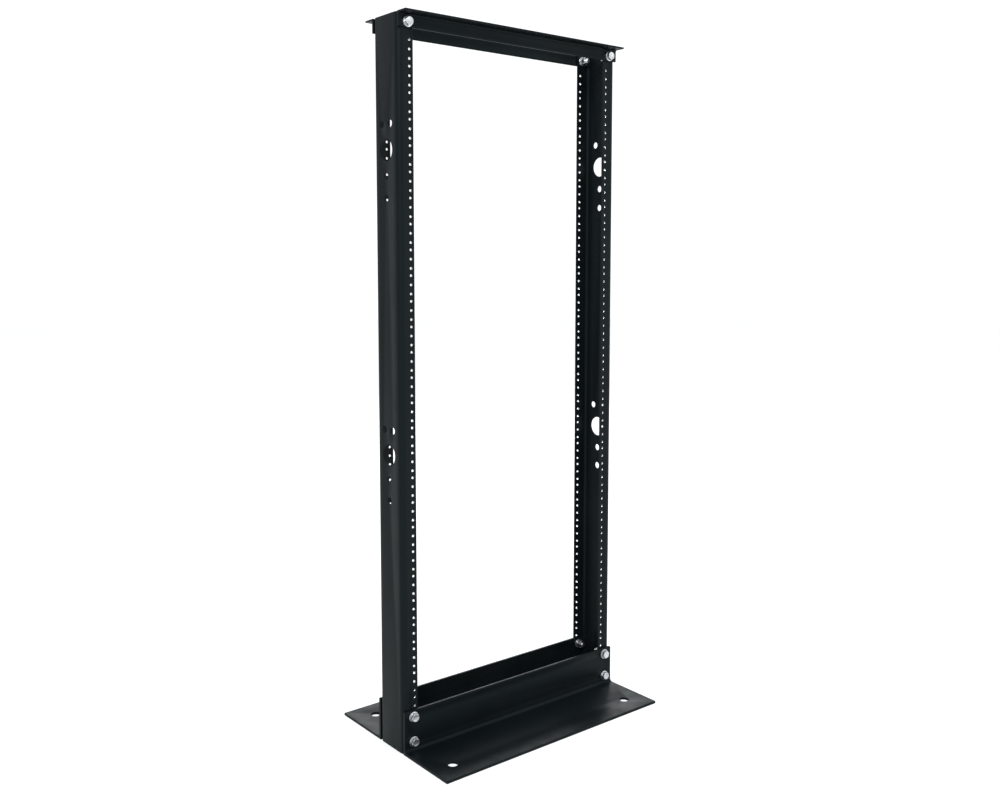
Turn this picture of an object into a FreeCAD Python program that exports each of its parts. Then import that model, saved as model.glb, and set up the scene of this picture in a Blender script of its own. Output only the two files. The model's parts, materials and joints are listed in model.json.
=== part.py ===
import FreeCAD, Part
import math
import os

from FreeCAD import Vector

# Open two-post rack for 19-inch equipment, in millimetres.
# The origin is on the floor, in the middle of the footprint. +X runs along the
# width, +Y from the front of the rack to its back, and +Z up.
# Two steel channels stand upright, web outward, with a column of equipment holes
# in each flange. Two small angles join their tops and two large angles their feet.

# Equipment rails, to the 19-inch rack standard
RACK_UNIT = 44.45
HOLES_PER_UNIT = 3
WIDE_STEP = 15.875            # first and second hole of a unit, second and third
HOLE_COLUMN_SPACING = 465.1
CLEAR_OPENING = 450.85        # between the flange edges of the two uprights
RAIL_HOLE_RADIUS = 2.75
RAIL_HOLES = 80               # in each column
TOP_RAIL_HOLE_DROP = 44.45    # from the top of the rack down to the highest hole

# Uprights, bent from sheet steel
HEIGHT = 1301.75
WIDTH = 514.35
CHANNEL_DEPTH = 76.2
SHEET = 3.0
BEND_INSIDE = 6.35

# Holes in the web of each upright, in two groups
CABLE_HOLE_RADIUS = 19.05
WEB_HOLE_RADIUS = 6.35
WEB_HOLE_PAIR_SPACING = 25.4
CABLE_HOLE_DROPS = (184.15 + TOP_RAIL_HOLE_DROP, 717.55 + TOP_RAIL_HOLE_DROP)
PAIR_RISE = 44.45             # of the pair of small holes above the cable hole
SINGLE_DROPS = (44.45, 82.55)  # of the single small holes below the cable hole

# Angles that join the tops of the uprights
TOP_ANGLE_LEG = 25.4
TOP_ANGLE_THICKNESS = 3.175
TOP_ANGLE_FILLET = 3.175

# Angles that stand on the floor
FOOTPRINT_DEPTH = 342.9
BASE_ANGLE_HEIGHT = 79.375
BASE_ANGLE_THICKNESS = 4.7625
BASE_ANGLE_FILLET = 6.35
BASE_ANGLE_CORNER = 3.0       # at the two upper corners of the leg
TOE_RADIUS = 1.5
HEEL_RADIUS = 0.5
ANCHOR_HOLE_RADIUS = 9.525
ANCHOR_EDGE = 44.45           # from the hole to the end and to the toe of the angle

# Bolted joints: 3/8-inch hex bolts, one at each top corner and two at each foot
BOLT_X = 238.125
TOP_BOLT_DROPS = (15.875,)    # below the top of the rack
BASE_BOLT_HEIGHTS = (21.5, 67.5)
CLEARANCE_HOLE_RADIUS = 5.15
SHANK_RADIUS = 4.7
BOLT_LENGTH = 25.4
HEX_ACROSS_FLATS = 14.29
HEX_SIDES = 6
HEX_CHAMFER_ANGLE = 30.0      # degrees, off the end face
HEX_END_CIRCLE = 0.96         # flat circle left on a chamfered end, of the size across flats
HEAD_HEIGHT = 6.2
NUT_HEIGHT = 8.4
NUT_BORE_RADIUS = 4.75
WASHER_RADIUS = 9.525
WASHER_BORE_RADIUS = 5.15
WASHER_THICKNESS = 1.6
LOCK_WASHER_RADIUS = 8.65
LOCK_WASHER_BORE_RADIUS = 4.9
LOCK_WASHER_THICKNESS = 2.4
LOCK_WASHER_GAP = 1.2
LOCK_WASHER_GAP_SLANT = 25.0  # degrees
THREAD_END_CHAMFER = 0.8

# Worked out from the sizes above
HALF_WIDTH = WIDTH / 2
FLANGE_EDGE = CLEAR_OPENING / 2
FLANGE_FACE = CHANNEL_DEPTH / 2
BEND_OUTSIDE = BEND_INSIDE + SHEET
HALF_FOOTPRINT = FOOTPRINT_DEPTH / 2
OVERRUN = 5.0                 # how far a cutting tool runs past a face
QUARTER_TURN = 90.0           # degrees

SIDES = {"left": -1, "right": 1}
FACES = {"front": -1, "back": 1}


def rounded_face(corners, place):
    """Flat face with a rounded outline.

    corners is a list of (a, b, radius) round the outline, and place turns (a, b)
    into a point in space.
    """
    edges = []
    arcs = []
    count = len(corners)
    for i, (a, b, radius) in enumerate(corners):
        here = Vector(a, b, 0)
        before = Vector(*corners[i - 1][:2], 0)
        after = Vector(*corners[(i + 1) % count][:2], 0)
        back = (before - here).normalize()
        ahead = (after - here).normalize()
        half_angle = back.getAngle(ahead) / 2
        setback = radius / math.tan(half_angle)
        bisector = (back + ahead).normalize()
        middle = here + bisector * (radius / math.sin(half_angle) - radius)
        arcs.append((here + back * setback, middle, here + ahead * setback))
    for i, (start, middle, end) in enumerate(arcs):
        if corners[i][2] > 0:
            arc = Part.Arc(place(start), place(middle), place(end))
            edges.append(arc.toShape())
        next_start = arcs[(i + 1) % count][0]
        edges.append(Part.makeLine(place(end), place(next_start)))
    return Part.Face(Part.Wire(edges))


def y_cylinder(radius, x, z, y_from, y_to):
    """Cylinder along Y."""
    return Part.makeCylinder(radius, y_to - y_from, Vector(x, y_from, z), Vector(0, 1, 0))


def rail_hole_heights():
    """Heights of the equipment holes, from the highest one down."""
    highest = HEIGHT - TOP_RAIL_HOLE_DROP
    heights = []
    for index in range(RAIL_HOLES):
        unit, place_in_unit = divmod(index, HOLES_PER_UNIT)
        heights.append(highest - unit * RACK_UNIT - place_in_unit * WIDE_STEP)
    return heights


def bolt_heights(level):
    """Heights of the bolts that join an upright to the angle at the given level."""
    if level == "top":
        return [HEIGHT - drop for drop in TOP_BOLT_DROPS]
    return list(BASE_BOLT_HEIGHTS)


def flange_holes(side):
    """Cutting tools through both flanges of an upright."""
    reach = FLANGE_FACE + OVERRUN
    tools = []
    for height in rail_hole_heights():
        x = side * HOLE_COLUMN_SPACING / 2
        tools.append(y_cylinder(RAIL_HOLE_RADIUS, x, height, -reach, reach))
    for height in bolt_heights("top") + bolt_heights("base"):
        x = side * BOLT_X
        tools.append(y_cylinder(CLEARANCE_HOLE_RADIUS, x, height, -reach, reach))
    return tools


def web_holes(side):
    """Cutting tools through the web of an upright: two groups of five holes."""
    places = []
    for drop in CABLE_HOLE_DROPS:
        centre = HEIGHT - drop
        places.append((0, centre, CABLE_HOLE_RADIUS))
        for y in (-WEB_HOLE_PAIR_SPACING / 2, WEB_HOLE_PAIR_SPACING / 2):
            places.append((y, centre + PAIR_RISE, WEB_HOLE_RADIUS))
        for single_drop in SINGLE_DROPS:
            places.append((0, centre - single_drop, WEB_HOLE_RADIUS))
    start = side * (HALF_WIDTH + OVERRUN)
    length = SHEET + 2 * OVERRUN
    tools = []
    for y, z, radius in places:
        tools.append(Part.makeCylinder(radius, length, Vector(start, y, z), Vector(-side, 0, 0)))
    return tools


def upright(side):
    """Channel with its web outward and its two flanges turned in towards the opening."""
    web = HALF_WIDTH
    web_inside = HALF_WIDTH - SHEET
    face = FLANGE_FACE
    inside = FLANGE_FACE - SHEET
    outline = [
        (FLANGE_EDGE, -face, 0),
        (web, -face, BEND_OUTSIDE),
        (web, face, BEND_OUTSIDE),
        (FLANGE_EDGE, face, 0),
        (FLANGE_EDGE, inside, 0),
        (web_inside, inside, BEND_INSIDE),
        (web_inside, -inside, BEND_INSIDE),
        (FLANGE_EDGE, -inside, 0),
    ]
    section = rounded_face(outline, lambda point: Vector(side * point.x, point.y, 0))
    channel = section.extrude(Vector(0, 0, HEIGHT))
    return channel.cut(flange_holes(side) + web_holes(side))


def angle_bar(outline, face):
    """Angle that runs along X, from an outline of (distance from the centre, height, radius)."""
    section = rounded_face(outline, lambda point: Vector(-HALF_WIDTH, face * point.x, point.y))
    return section.extrude(Vector(WIDTH, 0, 0))


def bolt_holes(level, face):
    """Cutting tools for the bolts through the upright leg of an angle."""
    inner = FLANGE_FACE - OVERRUN
    outer = FLANGE_FACE + BASE_ANGLE_THICKNESS + OVERRUN
    y_from, y_to = sorted((face * inner, face * outer))
    tools = []
    for height in bolt_heights(level):
        for side in SIDES.values():
            tools.append(y_cylinder(CLEARANCE_HOLE_RADIUS, side * BOLT_X, height, y_from, y_to))
    return tools


def anchor_holes(face):
    """Cutting tools for the two floor anchors of one base angle."""
    length = BASE_ANGLE_THICKNESS + 2 * OVERRUN
    y = face * (HALF_FOOTPRINT - ANCHOR_EDGE)
    tools = []
    for side in SIDES.values():
        base = Vector(side * (HALF_WIDTH - ANCHOR_EDGE), y, -OVERRUN)
        tools.append(Part.makeCylinder(ANCHOR_HOLE_RADIUS, length, base, Vector(0, 0, 1)))
    return tools


def rounded_elevation():
    """Block as long and as high as a base angle, with its two upper corners rounded."""
    outline = [
        (-HALF_WIDTH, 0, 0),
        (HALF_WIDTH, 0, 0),
        (HALF_WIDTH, BASE_ANGLE_HEIGHT, BASE_ANGLE_CORNER),
        (-HALF_WIDTH, BASE_ANGLE_HEIGHT, BASE_ANGLE_CORNER),
    ]
    elevation = rounded_face(outline, lambda point: Vector(point.x, -FOOTPRINT_DEPTH, point.y))
    return elevation.extrude(Vector(0, 2 * FOOTPRINT_DEPTH, 0))


def top_angle(face):
    """Small angle across the tops: one leg on the flanges, the other pointing outward."""
    root = FLANGE_FACE
    toe = FLANGE_FACE + TOP_ANGLE_LEG
    low = HEIGHT - TOP_ANGLE_LEG
    thickness = TOP_ANGLE_THICKNESS
    outline = [
        (root, low, HEEL_RADIUS),
        (root, HEIGHT, HEEL_RADIUS),
        (toe, HEIGHT, HEEL_RADIUS),
        (toe, HEIGHT - thickness, TOE_RADIUS),
        (root + thickness, HEIGHT - thickness, TOP_ANGLE_FILLET),
        (root + thickness, low, TOE_RADIUS),
    ]
    bar = angle_bar(outline, face)
    return bar.cut(bolt_holes("top", face))


def base_angle(face):
    """Large angle on the floor: one leg on the flanges, the foot pointing outward."""
    root = FLANGE_FACE
    toe = HALF_FOOTPRINT
    high = BASE_ANGLE_HEIGHT
    thickness = BASE_ANGLE_THICKNESS
    outline = [
        (root, 0, HEEL_RADIUS),
        (toe, 0, HEEL_RADIUS),
        (toe, thickness, TOE_RADIUS),
        (root + thickness, thickness, BASE_ANGLE_FILLET),
        (root + thickness, high, TOE_RADIUS),
        (root, high, HEEL_RADIUS),
    ]
    bar = angle_bar(outline, face).common(rounded_elevation())
    return bar.cut(bolt_holes("base", face) + anchor_holes(face))


def ring(radius, bore_radius, thickness):
    """Flat ring on the XY plane, with its axis along +Z."""
    return Part.makeCylinder(radius, thickness).cut(Part.makeCylinder(bore_radius, thickness))


def lock_washer():
    """Split lock washer, flattened by the nut, with a slanting gap."""
    washer = ring(LOCK_WASHER_RADIUS, LOCK_WASHER_BORE_RADIUS, LOCK_WASHER_THICKNESS)
    gap = Part.makeBox(
        LOCK_WASHER_RADIUS * 2,
        LOCK_WASHER_GAP,
        OVERRUN * 2,
        Vector(0, -LOCK_WASHER_GAP / 2, -OVERRUN),
    )
    gap.rotate(Vector(0, 0, 0), Vector(1, 0, 0), LOCK_WASHER_GAP_SLANT)
    gap.translate(Vector(0, 0, LOCK_WASHER_THICKNESS / 2))
    return washer.cut(gap)


def hexagon(height, chamfer_low, chamfer_high):
    """Hexagonal block along +Z whose points are chamfered at the chosen ends."""
    flat_radius = HEX_ACROSS_FLATS / 2
    point_radius = flat_radius / math.cos(math.pi / HEX_SIDES)
    corners = []
    for step in range(HEX_SIDES):
        turn = step * 2 * math.pi / HEX_SIDES
        corners.append(Vector(point_radius * math.cos(turn), point_radius * math.sin(turn), 0))
    outline = Part.makePolygon(corners + [corners[0]])
    block = Part.Face(outline).extrude(Vector(0, 0, height))
    end_radius = flat_radius * HEX_END_CIRCLE
    slope = math.tan(math.radians(HEX_CHAMFER_ANGLE))
    cone_height = (point_radius - end_radius) * slope
    middle = height - cone_height * (chamfer_low + chamfer_high)
    body = Part.makeCylinder(point_radius, middle, Vector(0, 0, cone_height * chamfer_low))
    if chamfer_low:
        body = body.fuse(Part.makeCone(end_radius, point_radius, cone_height))
    if chamfer_high:
        top = Vector(0, 0, height - cone_height)
        body = body.fuse(Part.makeCone(point_radius, end_radius, cone_height, top))
    return block.common(body)


def nut():
    """Hex nut on the XY plane, with its axis along +Z."""
    bore = Part.makeCylinder(NUT_BORE_RADIUS, NUT_HEIGHT)
    return hexagon(NUT_HEIGHT, True, True).cut(bore).removeSplitter()


def bolt():
    """Hex bolt with its head below the XY plane and its shank along +Z."""
    head = hexagon(HEAD_HEIGHT, True, False)
    head.translate(Vector(0, 0, -HEAD_HEIGHT))
    plain = BOLT_LENGTH - THREAD_END_CHAMFER
    shank = Part.makeCylinder(SHANK_RADIUS, plain)
    end = Part.makeCone(
        SHANK_RADIUS,
        SHANK_RADIUS - THREAD_END_CHAMFER,
        THREAD_END_CHAMFER,
        Vector(0, 0, plain),
    )
    return head.fuse([shank, end]).removeSplitter()


def angle_thickness(level):
    """Thickness of the angle at the given level."""
    if level == "top":
        return TOP_ANGLE_THICKNESS
    return BASE_ANGLE_THICKNESS


def stack_of(level):
    """Fasteners of one bolted joint.

    Each is its name, its shape, and how far its base lies in from the outer face of
    the angle, along the bolt.
    """
    grip = SHEET + angle_thickness(level)
    lock = grip + WASHER_THICKNESS
    flat = ring(WASHER_RADIUS, WASHER_BORE_RADIUS, WASHER_THICKNESS)
    return [
        ("bolt", bolt(), -WASHER_THICKNESS),
        ("head_washer", flat, -WASHER_THICKNESS),
        ("nut_washer", flat, grip),
        ("lock_washer", lock_washer(), lock),
        ("nut", nut(), lock + LOCK_WASHER_THICKNESS),
    ]


def placed(shape, x, z, outer_face, depth, face):
    """Copy of a fastener whose axis points from the outer face in towards the channel."""
    copy = shape.copy()
    copy.rotate(Vector(0, 0, 0), Vector(1, 0, 0), QUARTER_TURN * face)
    copy.translate(Vector(x, face * (outer_face - depth), z))
    return copy


def corner_fasteners(level, face, side):
    """Fasteners of one corner of the rack, by name; the like ones form one group."""
    outer_face = FLANGE_FACE + angle_thickness(level)
    groups = {}
    for name, shape, depth in stack_of(level):
        solids = []
        for height in bolt_heights(level):
            solids.append(placed(shape, side * BOLT_X, height, outer_face, depth, face))
        groups[name] = solids[0] if len(solids) == 1 else Part.makeCompound(solids)
    return groups


def build_nodes():
    """Every piece of the rack, by node name."""
    nodes = {}
    for side_name, side in SIDES.items():
        nodes["upright_" + side_name] = upright(side)
    for face_name, face in FACES.items():
        nodes["top_angle_" + face_name] = top_angle(face)
        nodes["base_angle_" + face_name] = base_angle(face)
    for level in ("top", "base"):
        for face_name, face in FACES.items():
            for side_name, side in SIDES.items():
                corner = "_".join((level, face_name, side_name))
                for name, shape in corner_fasteners(level, face, side).items():
                    nodes[corner + "_" + name] = shape
    return nodes


def main():
    os.makedirs("parts", exist_ok=True)
    for name, shape in build_nodes().items():
        shape.exportStep("parts/" + name + ".step")


main()
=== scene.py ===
import json
import math
import random

import bmesh
import bpy
from mathutils import Matrix, Vector


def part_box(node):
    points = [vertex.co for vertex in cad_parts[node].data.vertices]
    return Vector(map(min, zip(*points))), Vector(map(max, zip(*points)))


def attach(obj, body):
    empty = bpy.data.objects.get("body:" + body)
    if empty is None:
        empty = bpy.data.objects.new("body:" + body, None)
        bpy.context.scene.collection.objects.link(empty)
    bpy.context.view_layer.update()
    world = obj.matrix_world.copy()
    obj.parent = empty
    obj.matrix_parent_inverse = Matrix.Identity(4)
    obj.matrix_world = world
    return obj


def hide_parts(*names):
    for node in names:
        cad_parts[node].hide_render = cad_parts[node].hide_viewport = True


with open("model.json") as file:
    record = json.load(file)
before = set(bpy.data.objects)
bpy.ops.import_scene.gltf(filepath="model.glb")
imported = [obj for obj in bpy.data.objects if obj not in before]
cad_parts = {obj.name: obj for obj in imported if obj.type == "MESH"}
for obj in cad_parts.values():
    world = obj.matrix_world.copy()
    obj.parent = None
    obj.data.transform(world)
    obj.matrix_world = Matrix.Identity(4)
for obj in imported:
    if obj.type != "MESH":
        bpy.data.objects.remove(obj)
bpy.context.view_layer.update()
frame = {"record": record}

# The looks of the two-post equipment rack, in metres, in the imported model's own frame:
# +X along the width, +Y from front to back, +Z up, origin on the floor.

RANDOM_SEED = 11
MM = 0.001

# Sheet and bars
SHEET = 3.0 * MM
BEND_INSIDE = 6.35 * MM
TOP_ANGLE_THICKNESS = 3.175 * MM
TOP_ANGLE_FILLET = 3.175 * MM
BASE_ANGLE_THICKNESS = 4.7625 * MM
BASE_ANGLE_FILLET = 6.35 * MM
BASE_ANGLE_CORNER = 3.0 * MM
TOE_RADIUS = 1.5 * MM
EDGE_RADIUS = 0.5 * MM
END_BREAK = 0.35 * MM          # broken edge at the cut ends of the bars
ARC_STEP = math.radians(11)    # longest turn between two points of an arc

# Holes
RACK_UNIT = 44.45 * MM
HOLES_PER_UNIT = 3
WIDE_STEP = 15.875 * MM
CABLE_HOLE_RADIUS = 19.05 * MM
WEB_HOLE_RADIUS = 6.35 * MM
WEB_HOLE_PAIR_SPACING = 25.4 * MM
CABLE_HOLE_DROPS = (228.6 * MM, 762.0 * MM)
PAIR_RISE = 44.45 * MM
SINGLE_DROPS = (44.45 * MM, 82.55 * MM)
CLEARANCE_HOLE_RADIUS = 5.15 * MM
RIM_RADIUS = 0.45 * MM         # paint rounds the rim of every hole
CUTTER_OVERRUN = 0.4 * MM
RAIL_THREAD_PITCH = 1.058 * MM
RAIL_THREAD_DEPTH = 0.45 * MM
RAIL_THREAD_RINGS = 4          # for each turn of the thread
RIM_STEPS = 3
RAIL_HOLE_STEPS = 24           # segments round each kind of hole
CLEARANCE_HOLE_STEPS = 32
WEB_HOLE_STEPS = 36
ANCHOR_HOLE_STEPS = 56
CABLE_HOLE_STEPS = 72
CORNER_STEPS = 8

# Fasteners
HEX_ACROSS_FLATS = 14.29 * MM
HEX_SIDES = 6
HEX_POINT_WEAR = 0.18 * MM     # taken off each point
HEX_END_RADIUS = 0.95 * HEX_ACROSS_FLATS / 2  # flat circle left on a bevelled end
HEX_CHAMFER_ANGLE = math.radians(30)
HEAD_HEIGHT = 6.2 * MM
HEAD_DISH = ((3.6, 0.38), (4.3, 0.30), (4.9, 0.05), (5.2, 0.0))  # radius and depth, in mm
SHANK_RADIUS = 4.7 * MM
BOLT_LENGTH = 25.4 * MM
THREAD_PITCH = 1.5875 * MM
THREAD_DEPTH = 0.85 * MM
THREAD_START = 12.5 * MM
THREAD_END_CHAMFER = 1.0 * MM
THREAD_END_SLOPE = 1.2
THREAD_FLAT = 0.12             # share of the height cut flat at crest and at root
THREAD_RINGS = 12              # for each turn of the thread
NUT_HEIGHT = 8.4 * MM
NUT_BORE_RADIUS = 4.75 * MM
WASHER_BORE_RADIUS = 5.15 * MM
WASHER_RADIUS = 9.525 * MM
WASHER_THICKNESS = 1.6 * MM
LOCK_WASHER_RADIUS = 8.65 * MM
LOCK_WASHER_BORE_RADIUS = 4.9 * MM
LOCK_WASHER_THICKNESS = 2.4 * MM
LOCK_WASHER_GAP = 1.2 * MM
LOCK_WASHER_SLANT = math.radians(25)
TURN_STEPS = 72                # segments round a fastener
SHARP_ANGLE = math.radians(28)

# Camera: stands in front of the rack, to its left, a little above its middle
CAMERA_PLACE = Vector((-1.2286, -1.5285, 0.8831))
CAMERA_YAW = math.radians(38.68)
CAMERA_PITCH = math.radians(5.24)
CAMERA_LENS = 37.0
CAMERA_SHIFT_Y = -0.045

SIDES = {"left": -1, "right": 1}
FACES = {"front": -1, "back": 1}
FINISHES = ("black_powder_coat", "bare_steel_thread")


# ---------------------------------------------------------------- meshes

def rounded(corners):
    """Points of an outline whose corners (a, b, radius) are rounded by arcs."""
    points = []
    count = len(corners)
    for i, (a, b, radius) in enumerate(corners):
        here = Vector((a, b))
        if radius == 0:
            points.append(here)
            continue
        back = (Vector(corners[i - 1][:2]) - here).normalized()
        ahead = (Vector(corners[(i + 1) % count][:2]) - here).normalized()
        half = back.angle(ahead) / 2
        centre = here + (back + ahead).normalized() * radius / math.sin(half)
        start = here + back * radius / math.tan(half) - centre
        end = here + ahead * radius / math.tan(half) - centre
        turn = start.angle_signed(end)
        steps = max(2, math.ceil(abs(turn) / ARC_STEP))
        for step in range(steps + 1):
            spin = Matrix.Rotation(-turn * step / steps, 2)
            points.append(centre + spin @ start)
    return points


def inset(points, distance):
    """The outline moved inward by a short distance, for the broken edge at a cut end."""
    area = sum(p.x * q.y - q.x * p.y for p, q in zip(points, points[1:] + points[:1]))
    sign = 1 if area > 0 else -1
    moved = []
    count = len(points)
    for i, point in enumerate(points):
        before = (point - points[i - 1]).normalized()
        after = (points[(i + 1) % count] - point).normalized()
        normal = Vector((-before.y - after.y, before.x + after.x)) * sign
        stretch = 2 / max(normal.length_squared, 1.0)
        moved.append(point + normal * distance * stretch)
    return moved


def loft(rings, closed=False):
    """Mesh through rings of points that have equal counts; a closed one has no ends."""
    mesh = bmesh.new()
    loops = [[mesh.verts.new(point) for point in ring] for ring in rings]
    pairs = list(zip(loops, loops[1:]))
    if closed:
        pairs.append((loops[-1], loops[0]))
    for low, high in pairs:
        for i in range(len(low)):
            j = (i + 1) % len(low)
            mesh.faces.new((low[i], low[j], high[j], high[i]))
    if not closed:
        mesh.faces.new(loops[0][::-1])
        mesh.faces.new(loops[-1])
    bmesh.ops.recalc_face_normals(mesh, faces=mesh.faces)
    return mesh


def to_object(mesh, name):
    """Object with smooth faces and sharp creases from a bmesh."""
    data = bpy.data.meshes.new(name)
    mesh.to_mesh(data)
    mesh.free()
    piece = bpy.data.objects.new(name, data)
    bpy.context.scene.collection.objects.link(piece)
    finish_shading(piece)
    return piece


def finish_shading(piece):
    """Smooth faces, with creases kept sharp."""
    piece.data.polygons.foreach_set("use_smooth", [True] * len(piece.data.polygons))
    piece.data.set_sharp_from_angle(angle=SHARP_ANGLE)


def bar(points, start, end, place):
    """Rings of a bar of constant section, with broken edges at its ends.

    place turns (section point, distance along the bar) into a point in space.
    """
    small = inset(points, END_BREAK)
    stations = [
        (small, start),
        (points, start + END_BREAK),
        (points, end - END_BREAK),
        (small, end),
    ]
    return [[place(point, along) for point in outline] for outline, along in stations]


def spindle(centre, axis, radius, low, high, steps, tapped=False):
    """Cutting tool along an axis, widened at both faces so that it rounds the rims.

    low and high are where the two faces of the sheet lie along the axis. A tapped
    hole has a helical thread between its rims, and its wall is left bare of paint.
    """
    bore = radius - RAIL_THREAD_DEPTH if tapped else radius
    rim = [(low - CUTTER_OVERRUN, bore + RIM_RADIUS)]
    for step in range(RIM_STEPS + 1):
        turn = step / RIM_STEPS * math.pi / 2
        rise = RIM_RADIUS * (1 - math.cos(turn))
        rim.append((low + rise, bore + RIM_RADIUS * (1 - math.sin(turn))))
    far_rim = [(low + high - depth, reach) for depth, reach in reversed(rim)]
    wall = []
    if tapped:
        length = high - low - 2 * RIM_RADIUS
        count = RAIL_THREAD_RINGS * round(length / RAIL_THREAD_PITCH) + 1
        wall = [low + RIM_RADIUS + length * i / count for i in range(1, count)]
    across = axis.orthogonal().normalized()
    up = axis.cross(across)
    stations = [(depth, reach, 0) for depth, reach in rim]
    stations += [(depth, bore, RAIL_THREAD_DEPTH) for depth in wall]
    stations += [(depth, reach, 0) for depth, reach in far_rim]
    rings = []
    for depth, reach, groove in stations:
        ring = []
        for step in range(steps):
            turn = 2 * math.pi * (step + 0.5) / steps
            phase = (depth / RAIL_THREAD_PITCH - turn / (2 * math.pi)) % 1
            spoke = across * math.cos(turn) + up * math.sin(turn)
            length_out = reach + groove * (1 - abs(2 * phase - 1))
            ring.append(centre + axis * depth + spoke * length_out)
        rings.append(ring)
    tool = loft(rings)
    if tapped:
        for face in tool.faces:
            depth = (face.calc_center_median() - centre).dot(axis)
            face.material_index = int(low + RIM_RADIUS < depth < high - RIM_RADIUS)
    return tool


def drill(piece, tools):
    """Cut every tool from the piece with one exact boolean."""
    joined = bmesh.new()
    for tool in tools:
        part = bpy.data.meshes.new("tool")
        tool.to_mesh(part)
        tool.free()
        joined.from_mesh(part)
        bpy.data.meshes.remove(part)
    cutter = to_object(joined, "cutter")
    for material in FINISHES:
        cutter.data.materials.append(bpy.data.materials[material])
        piece.data.materials.append(bpy.data.materials[material])
    cut = piece.modifiers.new("drill", "BOOLEAN")
    cut.operation = "DIFFERENCE"
    cut.solver = "EXACT"
    cut.material_mode = "INDEX"
    cut.object = cutter
    bpy.context.view_layer.update()
    result = bpy.data.meshes.new_from_object(
        piece.evaluated_get(bpy.context.evaluated_depsgraph_get())
    )
    piece.modifiers.clear()
    piece.data = result
    bpy.data.objects.remove(cutter)
    finish_shading(piece)


# ---------------------------------------------------------------- painted steel

def rail_hole_heights():
    """Heights of the equipment holes, from the highest one down to the base angle."""
    rail = mount("front_rail_top_unit")
    highest = rail["pos_m"][2] + rail["dims"]["spacing_y_mm"] * MM / 2
    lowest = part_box("base_angle_front")[1].z
    heights = []
    index = 0
    while True:
        unit, place_in_unit = divmod(index, HOLES_PER_UNIT)
        height = highest - unit * RACK_UNIT - place_in_unit * WIDE_STEP
        if height < lowest:
            return heights
        heights.append(height)
        index += 1


def mount(name):
    """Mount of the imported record, by name."""
    return next(m for m in frame["record"]["mounts"] if m["name"] == name)


def bolt_places():
    """Level, face and side of every bolted corner, with the heights of its bolts."""
    for level in ("top", "base"):
        for face in FACES:
            for side in SIDES:
                low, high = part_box(corner_node(level, face, side, "head_washer"))
                heights = [(low.z + high.z) / 2]
                if high.z - low.z > 3 * WASHER_RADIUS:
                    heights = [low.z + WASHER_RADIUS, high.z - WASHER_RADIUS]
                yield level, face, side, (low.x + high.x) / 2, heights


def corner_node(level, face, side, kind):
    """Name of the CAD node of one kind of fastener at one corner."""
    return "_".join((level, face, side, kind))


def upright(side_name):
    """Bent channel with every hole cut, web outward."""
    side = SIDES[side_name]
    low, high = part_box("upright_" + side_name)
    web = max(abs(low.x), abs(high.x))
    edge = min(abs(low.x), abs(high.x))
    face = high.y
    outline = rounded([
        (edge, -face, EDGE_RADIUS),
        (web, -face, BEND_INSIDE + SHEET),
        (web, face, BEND_INSIDE + SHEET),
        (edge, face, EDGE_RADIUS),
        (edge, face - SHEET, EDGE_RADIUS),
        (web - SHEET, face - SHEET, BEND_INSIDE),
        (web - SHEET, -face + SHEET, BEND_INSIDE),
        (edge, -face + SHEET, EDGE_RADIUS),
    ])
    rings = bar(outline, 0, high.z, lambda p, z: Vector((side * p.x, p.y, z)))
    piece = to_object(loft(rings), "steel_upright_" + side_name)
    drill(piece, flange_tools(side_name, face) + web_tools(side, web, high.z))
    return piece


def flange_tools(side_name, face):
    """Cutting tools for the equipment and bolt holes of both flanges."""
    side = SIDES[side_name]
    rail = mount("front_rail_top_unit")
    x = side * rail["dims"]["spacing_x_mm"] * MM / 2
    radius = rail["dims"]["hole_r_mm"] * MM
    places = [(x, z, radius, RAIL_HOLE_STEPS, True) for z in rail_hole_heights()]
    for _, face_name, name, bolt_x, heights in bolt_places():
        if name == side_name and face_name == "front":
            for z in heights:
                places.append((bolt_x, z, CLEARANCE_HOLE_RADIUS, CLEARANCE_HOLE_STEPS, False))
    tools = []
    along = Vector((0, 1, 0))
    for x, z, reach, steps, tapped in places:
        centre = Vector((x, 0, z))
        for low in (-face, face - SHEET):
            tools.append(spindle(centre, along, reach, low, low + SHEET, steps, tapped))
    return tools


def web_tools(side, web, height):
    """Cutting tools for the two groups of holes in a web."""
    places = []
    for drop in CABLE_HOLE_DROPS:
        centre = height - drop
        places.append((0, centre, CABLE_HOLE_RADIUS, CABLE_HOLE_STEPS))
        for y in (-WEB_HOLE_PAIR_SPACING / 2, WEB_HOLE_PAIR_SPACING / 2):
            places.append((y, centre + PAIR_RISE, WEB_HOLE_RADIUS, WEB_HOLE_STEPS))
        for single in SINGLE_DROPS:
            places.append((0, centre - single, WEB_HOLE_RADIUS, WEB_HOLE_STEPS))
    along = Vector((side, 0, 0))
    return [
        spindle(Vector((0, y, z)), along, radius, web - SHEET, web, steps)
        for y, z, radius, steps in places
    ]


def angle_bar(node, outline, face):
    """Bar along X with an angle's section, given as (distance out, height, radius)."""
    low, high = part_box(node)
    section = rounded(outline)
    rings = bar(section, low.x, high.x, lambda p, x: Vector((x, face * p.x, p.y)))
    return to_object(loft(rings), "steel_" + node)


def bolt_tools(level, face_name, thickness):
    """Clearance holes through the upright leg of an angle."""
    face = FACES[face_name]
    inner = abs(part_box("upright_left")[1].y)
    low = min(face * inner, face * (inner + thickness))
    tools = []
    for at_level, at_face, _, x, heights in bolt_places():
        if (at_level, at_face) == (level, face_name):
            for z in heights:
                tools.append(spindle(
                    Vector((x, 0, z)), Vector((0, 1, 0)), CLEARANCE_HOLE_RADIUS,
                    low, low + thickness, CLEARANCE_HOLE_STEPS,
                ))
    return tools


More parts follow.
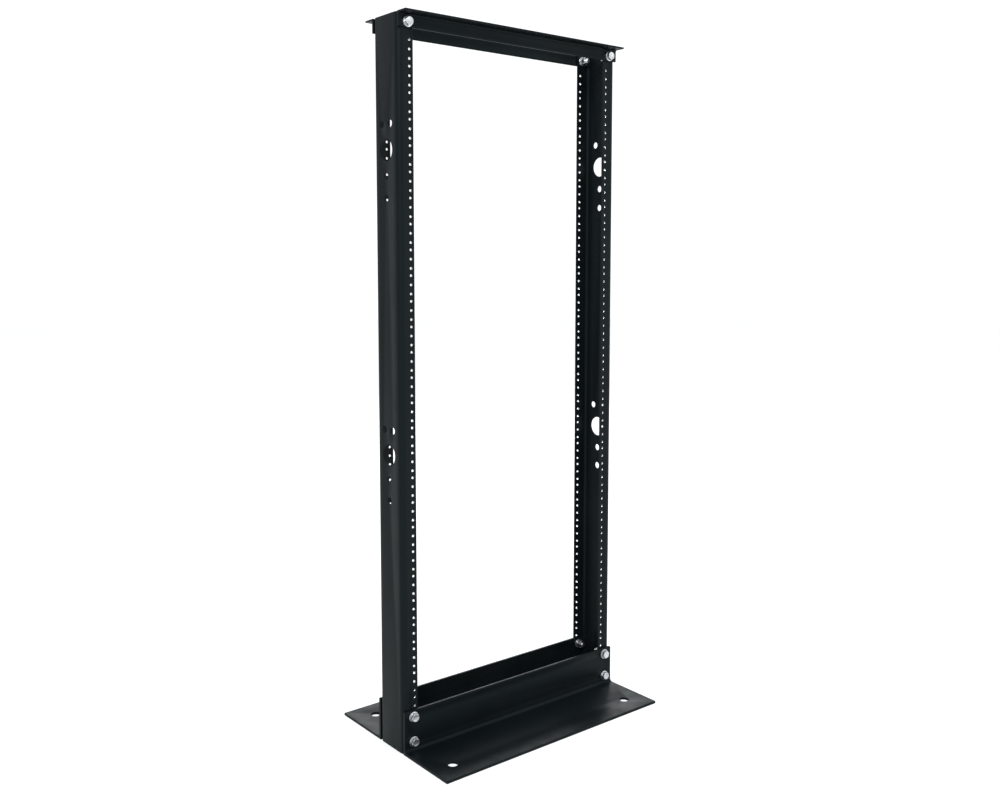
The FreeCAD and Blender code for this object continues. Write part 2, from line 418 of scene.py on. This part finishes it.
def top_angle(face_name):
    """Small angle across the tops of the uprights."""
    face = FACES[face_name]
    node = "top_angle_" + face_name
    low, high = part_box(node)
    root, toe = sorted((abs(low.y), abs(high.y)))
    thick = TOP_ANGLE_THICKNESS
    outline = [
        (root, low.z, EDGE_RADIUS),
        (root, high.z, EDGE_RADIUS),
        (toe, high.z, EDGE_RADIUS),
        (toe, high.z - thick, TOE_RADIUS),
        (root + thick, high.z - thick, TOP_ANGLE_FILLET),
        (root + thick, low.z, TOE_RADIUS),
    ]
    piece = angle_bar(node, outline, face)
    drill(piece, bolt_tools("top", face_name, thick))
    return piece


def corner_tool(x_end, side, top, face, root):
    """Cutting tool that rounds one upper corner of a base angle's upright leg."""
    radius = BASE_ANGLE_CORNER
    reach = 2 * radius
    outline = [
        Vector((x_end + side * reach, top + reach)),
        Vector((x_end - side * radius, top + reach)),
    ]
    for step in range(CORNER_STEPS + 1):
        turn = step / CORNER_STEPS * math.pi / 2
        x = x_end - side * radius * (1 - math.sin(turn))
        outline.append(Vector((x, top - radius * (1 - math.cos(turn)))))
    outline.append(Vector((x_end + side * reach, top - radius)))
    depths = (face * (root - reach), face * (root + BASE_ANGLE_THICKNESS + reach))
    return loft([[Vector((p.x, y, p.y)) for p in outline] for y in depths])


def base_angle(face_name):
    """Large angle that stands on the floor, with two anchor holes."""
    face = FACES[face_name]
    node = "base_angle_" + face_name
    low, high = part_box(node)
    root, toe = sorted((abs(low.y), abs(high.y)))
    thick = BASE_ANGLE_THICKNESS
    outline = [
        (root, 0, EDGE_RADIUS),
        (toe, 0, EDGE_RADIUS),
        (toe, thick, TOE_RADIUS),
        (root + thick, thick, BASE_ANGLE_FILLET),
        (root + thick, high.z, TOE_RADIUS),
        (root, high.z, EDGE_RADIUS),
    ]
    piece = angle_bar(node, outline, face)
    tools = bolt_tools("base", face_name, thick)
    for side, x_end in ((-1, low.x), (1, high.x)):
        tools.append(corner_tool(x_end, side, high.z, face, root))
    anchors = mount("floor_anchors")["dims"]
    for side in SIDES.values():
        x = side * anchors["spacing_x_mm"] * MM / 2
        y = face * anchors["spacing_y_mm"] * MM / 2
        radius = anchors["hole_r_mm"] * MM
        up = Vector((0, 0, 1))
        tools.append(spindle(Vector((x, y, 0)), up, radius, 0, thick, ANCHOR_HOLE_STEPS))
    drill(piece, tools)
    return piece


# ---------------------------------------------------------------- fasteners

def hex_radius(turn):
    """Distance from the axis to a hexagon's side, with its points slightly worn."""
    side_angle = 2 * math.pi / HEX_SIDES
    off_flat = (turn % side_angle) - side_angle / 2
    half_flats = HEX_ACROSS_FLATS / 2
    point = half_flats / math.cos(side_angle / 2)
    return min(half_flats / math.cos(off_flat), point - HEX_POINT_WEAR)


def turned_ring(radius, height):
    """Ring of points round Z; radius and height may depend on the angle."""
    ring = []
    for step in range(TURN_STEPS):
        turn = 2 * math.pi * step / TURN_STEPS
        reach = radius(turn) if callable(radius) else radius
        z = height(turn) if callable(height) else height
        ring.append(Vector((reach * math.cos(turn), reach * math.sin(turn), z)))
    return ring


def chamfer_drop(turn):
    """How far the cone that bevels a hexagon's points comes down its side."""
    return (hex_radius(turn) - HEX_END_RADIUS) * math.tan(HEX_CHAMFER_ANGLE)


def thread_radius(turn, z):
    """Radius of a 60-degree thread, with a chamfer at the bolt's end."""
    phase = (z / THREAD_PITCH - turn / (2 * math.pi)) % 1.0
    ridge = 1 - abs(2 * phase - 1)
    ridge = min(max((ridge - THREAD_FLAT) / (1 - 2 * THREAD_FLAT), 0.0), 1.0)
    run_in = min(max((z - THREAD_START) / THREAD_PITCH, 0.0), 1.0)
    radius = SHANK_RADIUS - THREAD_DEPTH * (1 - ridge) * run_in
    chamfered = SHANK_RADIUS - THREAD_END_CHAMFER + (BOLT_LENGTH - z) * THREAD_END_SLOPE
    return min(radius, chamfered)


def bolt_mesh():
    """Hex bolt: the head lies below the XY plane, and the shank runs along +Z."""
    top = -HEAD_HEIGHT
    flat = HEX_END_RADIUS
    washer_face = 0.4 * MM
    rings = [turned_ring(radius * MM, top + depth * MM) for radius, depth in HEAD_DISH]
    rings += [
        turned_ring(flat, top),
        turned_ring(hex_radius, lambda turn: top + chamfer_drop(turn)),
        turned_ring(hex_radius, -washer_face),
        turned_ring(flat, -washer_face),
        turned_ring(flat, 0),
        turned_ring(SHANK_RADIUS, 0),
    ]
    z = THREAD_START
    step = THREAD_PITCH / THREAD_RINGS
    while z < BOLT_LENGTH:
        rings.append(turned_ring(lambda turn, z=z: thread_radius(turn, z), z))
        z += step
    rings.append(turned_ring(lambda turn: thread_radius(turn, BOLT_LENGTH), BOLT_LENGTH))
    return loft(rings)


def nut_mesh():
    """Hex nut on the XY plane, with its points bevelled at both ends."""
    flat = HEX_END_RADIUS
    lead = 0.6 * MM
    rings = [
        turned_ring(NUT_BORE_RADIUS, lead),
        turned_ring(NUT_BORE_RADIUS + lead, 0),
        turned_ring(flat, 0),
        turned_ring(hex_radius, chamfer_drop),
        turned_ring(hex_radius, lambda turn: NUT_HEIGHT - chamfer_drop(turn)),
        turned_ring(flat, NUT_HEIGHT),
        turned_ring(NUT_BORE_RADIUS + lead, NUT_HEIGHT),
        turned_ring(NUT_BORE_RADIUS, NUT_HEIGHT - lead),
    ]
    return loft(rings, closed=True)


def washer_mesh():
    """Stamped flat washer on the XY plane: one rim rolled over, the other crisp."""
    thick = WASHER_THICKNESS
    roll = 0.35 * MM
    crisp = 0.12 * MM
    rings = [
        turned_ring(WASHER_BORE_RADIUS, crisp),
        turned_ring(WASHER_BORE_RADIUS + crisp, 0),
        turned_ring(WASHER_RADIUS - roll, 0),
        turned_ring(WASHER_RADIUS - 0.3 * roll, 0.3 * roll),
        turned_ring(WASHER_RADIUS, roll),
        turned_ring(WASHER_RADIUS, thick - crisp),
        turned_ring(WASHER_RADIUS - crisp, thick),
        turned_ring(WASHER_BORE_RADIUS + crisp, thick),
        turned_ring(WASHER_BORE_RADIUS, thick - crisp),
    ]
    return loft(rings, closed=True)


def lock_washer_mesh():
    """Split lock washer on the XY plane, flattened, with a slanting gap."""
    thick = LOCK_WASHER_THICKNESS
    inner = LOCK_WASHER_BORE_RADIUS
    outer = LOCK_WASHER_RADIUS
    middle = (inner + outer) / 2
    inner_round = 0.25 * MM
    outer_round = 0.35 * MM
    taper = 0.05 * MM
    section = rounded([
        (inner, 0, inner_round),
        (outer, taper, outer_round),
        (outer, thick - taper, outer_round),
        (inner, thick, inner_round),
    ])
    half_gap = LOCK_WASHER_GAP / 2 / middle
    rings = []
    for step in range(TURN_STEPS + 1):
        turn = half_gap + (2 * math.pi - 2 * half_gap) * step / TURN_STEPS
        ring = []
        for point in section:
            lean = (point.y - thick / 2) * math.tan(LOCK_WASHER_SLANT) / middle
            angle = turn - lean
            ring.append(Vector((point.x * math.cos(angle), point.x * math.sin(angle), point.y)))
        rings.append(ring)
    return loft(rings)


FASTENERS = {
    "bolt": bolt_mesh,
    "head_washer": washer_mesh,
    "nut_washer": washer_mesh,
    "lock_washer": lock_washer_mesh,
    "nut": nut_mesh,
}


def base_of(kind, face, low, high):
    """Y of the plane that a fastener's own XY plane comes to, from its CAD box."""
    outer = high.y if face > 0 else low.y
    if kind == "bolt":
        return outer - face * HEAD_HEIGHT
    return outer


def fastener(level, face_name, side_name, x, heights, kind):
    """Every fastener of one kind at one corner, as one piece."""
    node = corner_node(level, face_name, side_name, kind)
    face = FACES[face_name]
    low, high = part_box(node)
    turn_in = Matrix.Rotation(math.radians(90) * face, 4, "X")
    joined = bmesh.new()
    for z in heights:
        single = FASTENERS[kind]()
        spin = Matrix.Rotation(random.uniform(0, 2 * math.pi), 4, "Z")
        place = Matrix.Translation((x, base_of(kind, face, low, high), z))
        single.transform(place @ turn_in @ spin)
        part = bpy.data.meshes.new("part")
        single.to_mesh(part)
        single.free()
        joined.from_mesh(part)
        bpy.data.meshes.remove(part)
    return node, to_object(joined, "zinc_" + node)


# ---------------------------------------------------------------- materials

class Nodes:
    """Short way to add shader nodes and link them."""

    def __init__(self, name):
        self.material = bpy.data.materials.new(name)
        self.material.use_nodes = True
        self.tree = self.material.node_tree
        self.shader = self.tree.nodes["Principled BSDF"]
        self.place = self.tree.nodes.new("ShaderNodeNewGeometry").outputs["Position"]

    def noise(self, scale, detail=3.0, stretch=None):
        """Noise at a place in space, scaled along each axis where stretch is given."""
        node = self.tree.nodes.new("ShaderNodeTexNoise")
        node.inputs["Scale"].default_value = scale
        node.inputs["Detail"].default_value = detail
        source = self.place
        if stretch:
            scaled = self.tree.nodes.new("ShaderNodeVectorMath")
            scaled.operation = "MULTIPLY"
            scaled.inputs[1].default_value = stretch
            self.tree.links.new(source, scaled.inputs[0])
            source = scaled.outputs[0]
        self.tree.links.new(source, node.inputs["Vector"])
        return node.outputs["Fac"]

    def span(self, source, low, high, to_low, to_high):
        node = self.tree.nodes.new("ShaderNodeMapRange")
        for name, value in (
            ("From Min", low), ("From Max", high), ("To Min", to_low), ("To Max", to_high),
        ):
            node.inputs[name].default_value = value
        self.tree.links.new(source, node.inputs["Value"])
        return node.outputs["Result"]

    def ramp(self, source, stops):
        node = self.tree.nodes.new("ShaderNodeValToRGB")
        ramp = node.color_ramp
        while len(ramp.elements) < len(stops):
            ramp.elements.new(0.5)
        for element, (position, colour) in zip(ramp.elements, stops):
            element.position = position
            element.color = (*colour, 1)
        self.tree.links.new(source, node.inputs["Fac"])
        return node.outputs["Color"]

    def bump(self, source, distance, strength=1.0, below=None):
        node = self.tree.nodes.new("ShaderNodeBump")
        node.inputs["Strength"].default_value = strength
        node.inputs["Distance"].default_value = distance
        self.tree.links.new(source, node.inputs["Height"])
        if below is not None:
            self.tree.links.new(below, node.inputs["Normal"])
        return node.outputs["Normal"]

    def set(self, name, value):
        socket = self.shader.inputs[name]
        if isinstance(value, bpy.types.NodeSocket):
            self.tree.links.new(value, socket)
        else:
            socket.default_value = value


def powder_coat():
    """Satin black powder coat: orange peel, faint blue-green tint, light scuffs."""
    nodes = Nodes("black_powder_coat")
    cloud = nodes.noise(7.0, detail=4)
    tint = nodes.ramp(cloud, [
        (0.3, (0.0022, 0.0034, 0.0038)), (0.7, (0.0035, 0.0052, 0.0058)),
    ])
    nodes.set("Base Color", tint)
    smear = nodes.noise(38.0, detail=5, stretch=(1, 1, 0.35))
    nodes.set("Roughness", nodes.span(smear, 0.3, 0.7, 0.36, 0.47))
    peel = nodes.noise(520.0, detail=1.5)
    grain = nodes.noise(2600.0, detail=1.0)
    fine = nodes.bump(grain, 0.004 * MM, 0.6)
    nodes.set("Normal", nodes.bump(peel, 0.03 * MM, 0.8, below=fine))
    nodes.set("Specular IOR Level", 0.08)
    nodes.set("Specular Tint", (0.78, 0.96, 1.0, 1))
    return nodes.material


def bare_thread():
    """Bright cut steel of the tapped holes, with tool marks."""
    nodes = Nodes("bare_steel_thread")
    cloud = nodes.noise(300.0, detail=3)
    nodes.set("Base Color", nodes.ramp(cloud, [
        (0.3, (0.62, 0.62, 0.61)), (0.7, (0.80, 0.80, 0.79)),
    ]))
    nodes.set("Metallic", 1.0)
    nodes.set("Roughness", nodes.span(nodes.noise(900.0, detail=2), 0.3, 0.7, 0.25, 0.42))
    return nodes.material


def zinc_plate():
    """Bright zinc plate: fine grain, slight clouding and a hint of blue."""
    nodes = Nodes("zinc_plate")
    cloud = nodes.noise(160.0, detail=4)
    nodes.set("Base Color", nodes.ramp(cloud, [
        (0.3, (0.40, 0.42, 0.45)), (0.55, (0.54, 0.55, 0.57)), (0.75, (0.52, 0.51, 0.47)),
    ]))
    nodes.set("Metallic", 1.0)
    nodes.set("Roughness", nodes.span(nodes.noise(420.0, detail=5), 0.3, 0.7, 0.22, 0.40))
    nodes.set("Normal", nodes.bump(nodes.noise(1800.0, detail=3), 0.01 * MM, 0.5))
    return nodes.material


def floor_paint():
    """Pale, dull floor with very faint clouding."""
    nodes = Nodes("pale_floor")
    cloud = nodes.noise(0.8, detail=2)
    nodes.set("Base Color", nodes.ramp(cloud, [
        (0.3, (0.86, 0.86, 0.86)), (0.7, (0.88, 0.88, 0.88)),
    ]))
    nodes.set("Roughness", 0.7)
    return nodes.material


# ---------------------------------------------------------------- stage, light and camera

def studio_floor():
    """Round pale floor, wide enough to reach the horizon."""
    radii = (0.02, 0.5, 1.0, 2.0, 4.0, 8.0, 14.0)
    steps = 96
    mesh = bmesh.new()
    loops = []
    for radius in radii:
        ring = []
        for step in range(steps):
            turn = 2 * math.pi * step / steps
            ring.append(mesh.verts.new((radius * math.cos(turn), radius * math.sin(turn), 0)))
        loops.append(ring)
    mesh.faces.new(loops[0])
    for low, high in zip(loops, loops[1:]):
        for i in range(steps):
            j = (i + 1) % steps
            mesh.faces.new((low[i], high[i], high[j], low[j]))
    floor = to_object(mesh, "studio_floor")
    floor.data.materials.append(floor_paint())


def soft_box(name, place, target, size, power, colour=(1, 1, 1)):
    """Rectangular lamp that faces its target."""
    light = bpy.data.lights.new(name, "AREA")
    light.shape = "RECTANGLE"
    light.size, light.size_y = size
    light.energy = power
    light.color = colour
    lamp = bpy.data.objects.new(name, light)
    lamp.location = place
    lamp.rotation_euler = (Vector(target) - Vector(place)).to_track_quat("-Z", "Y").to_euler()
    bpy.context.scene.collection.objects.link(lamp)


def lights():
    """Even white surroundings and three soft boxes."""
    world = bpy.data.worlds.new("studio_air")
    world.use_nodes = True
    air = world.node_tree.nodes["Background"]
    air.inputs["Color"].default_value = (0.98, 0.99, 1.0, 1)
    air.inputs["Strength"].default_value = 1.15
    bpy.context.scene.world = world
    middle = (0, 0, 0.65)
    soft_box("key_light", (-2.2, -2.6, 3.4), middle, (1.8, 1.8), 170, (0.95, 0.98, 1.0))
    soft_box("fill_light", (2.4, -3.0, 1.1), middle, (1.6, 2.0), 12, (0.96, 0.99, 1.0))
    soft_box("back_light", (2.6, 3.3, 1.9), middle, (2.2, 1.4), 45, (0.96, 0.98, 1.0))


def camera():
    """Camera without roll, pitched a little down."""
    data = bpy.data.cameras.new("camera")
    data.sensor_width = 36
    data.lens = CAMERA_LENS
    data.shift_y = CAMERA_SHIFT_Y
    holder = bpy.data.objects.new("camera", data)
    holder.location = CAMERA_PLACE
    holder.rotation_euler = (math.pi / 2 - CAMERA_PITCH, 0, -CAMERA_YAW)
    bpy.context.scene.collection.objects.link(holder)
    bpy.context.scene.camera = holder


# ---------------------------------------------------------------- assembly

def mounted(piece, node):
    """Put a finished piece on the rack in place of its CAD node."""
    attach(piece, "root")
    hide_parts(node)


def build_rack():
    """Every piece of the rack, each in place of its CAD node."""
    powder_coat()
    bare_thread()
    zinc = zinc_plate()
    for side in SIDES:
        mounted(upright(side), "upright_" + side)
    for face in FACES:
        mounted(top_angle(face), "top_angle_" + face)
        mounted(base_angle(face), "base_angle_" + face)
    for level, face, side, x, heights in bolt_places():
        for kind in FASTENERS:
            node, piece = fastener(level, face, side, x, heights, kind)
            piece.data.materials.append(zinc)
            mounted(piece, node)


random.seed(RANDOM_SEED)
bpy.context.scene.view_settings.view_transform = "Standard"
build_rack()
studio_floor()
lights()
camera()
bpy.context.view_layer.update()
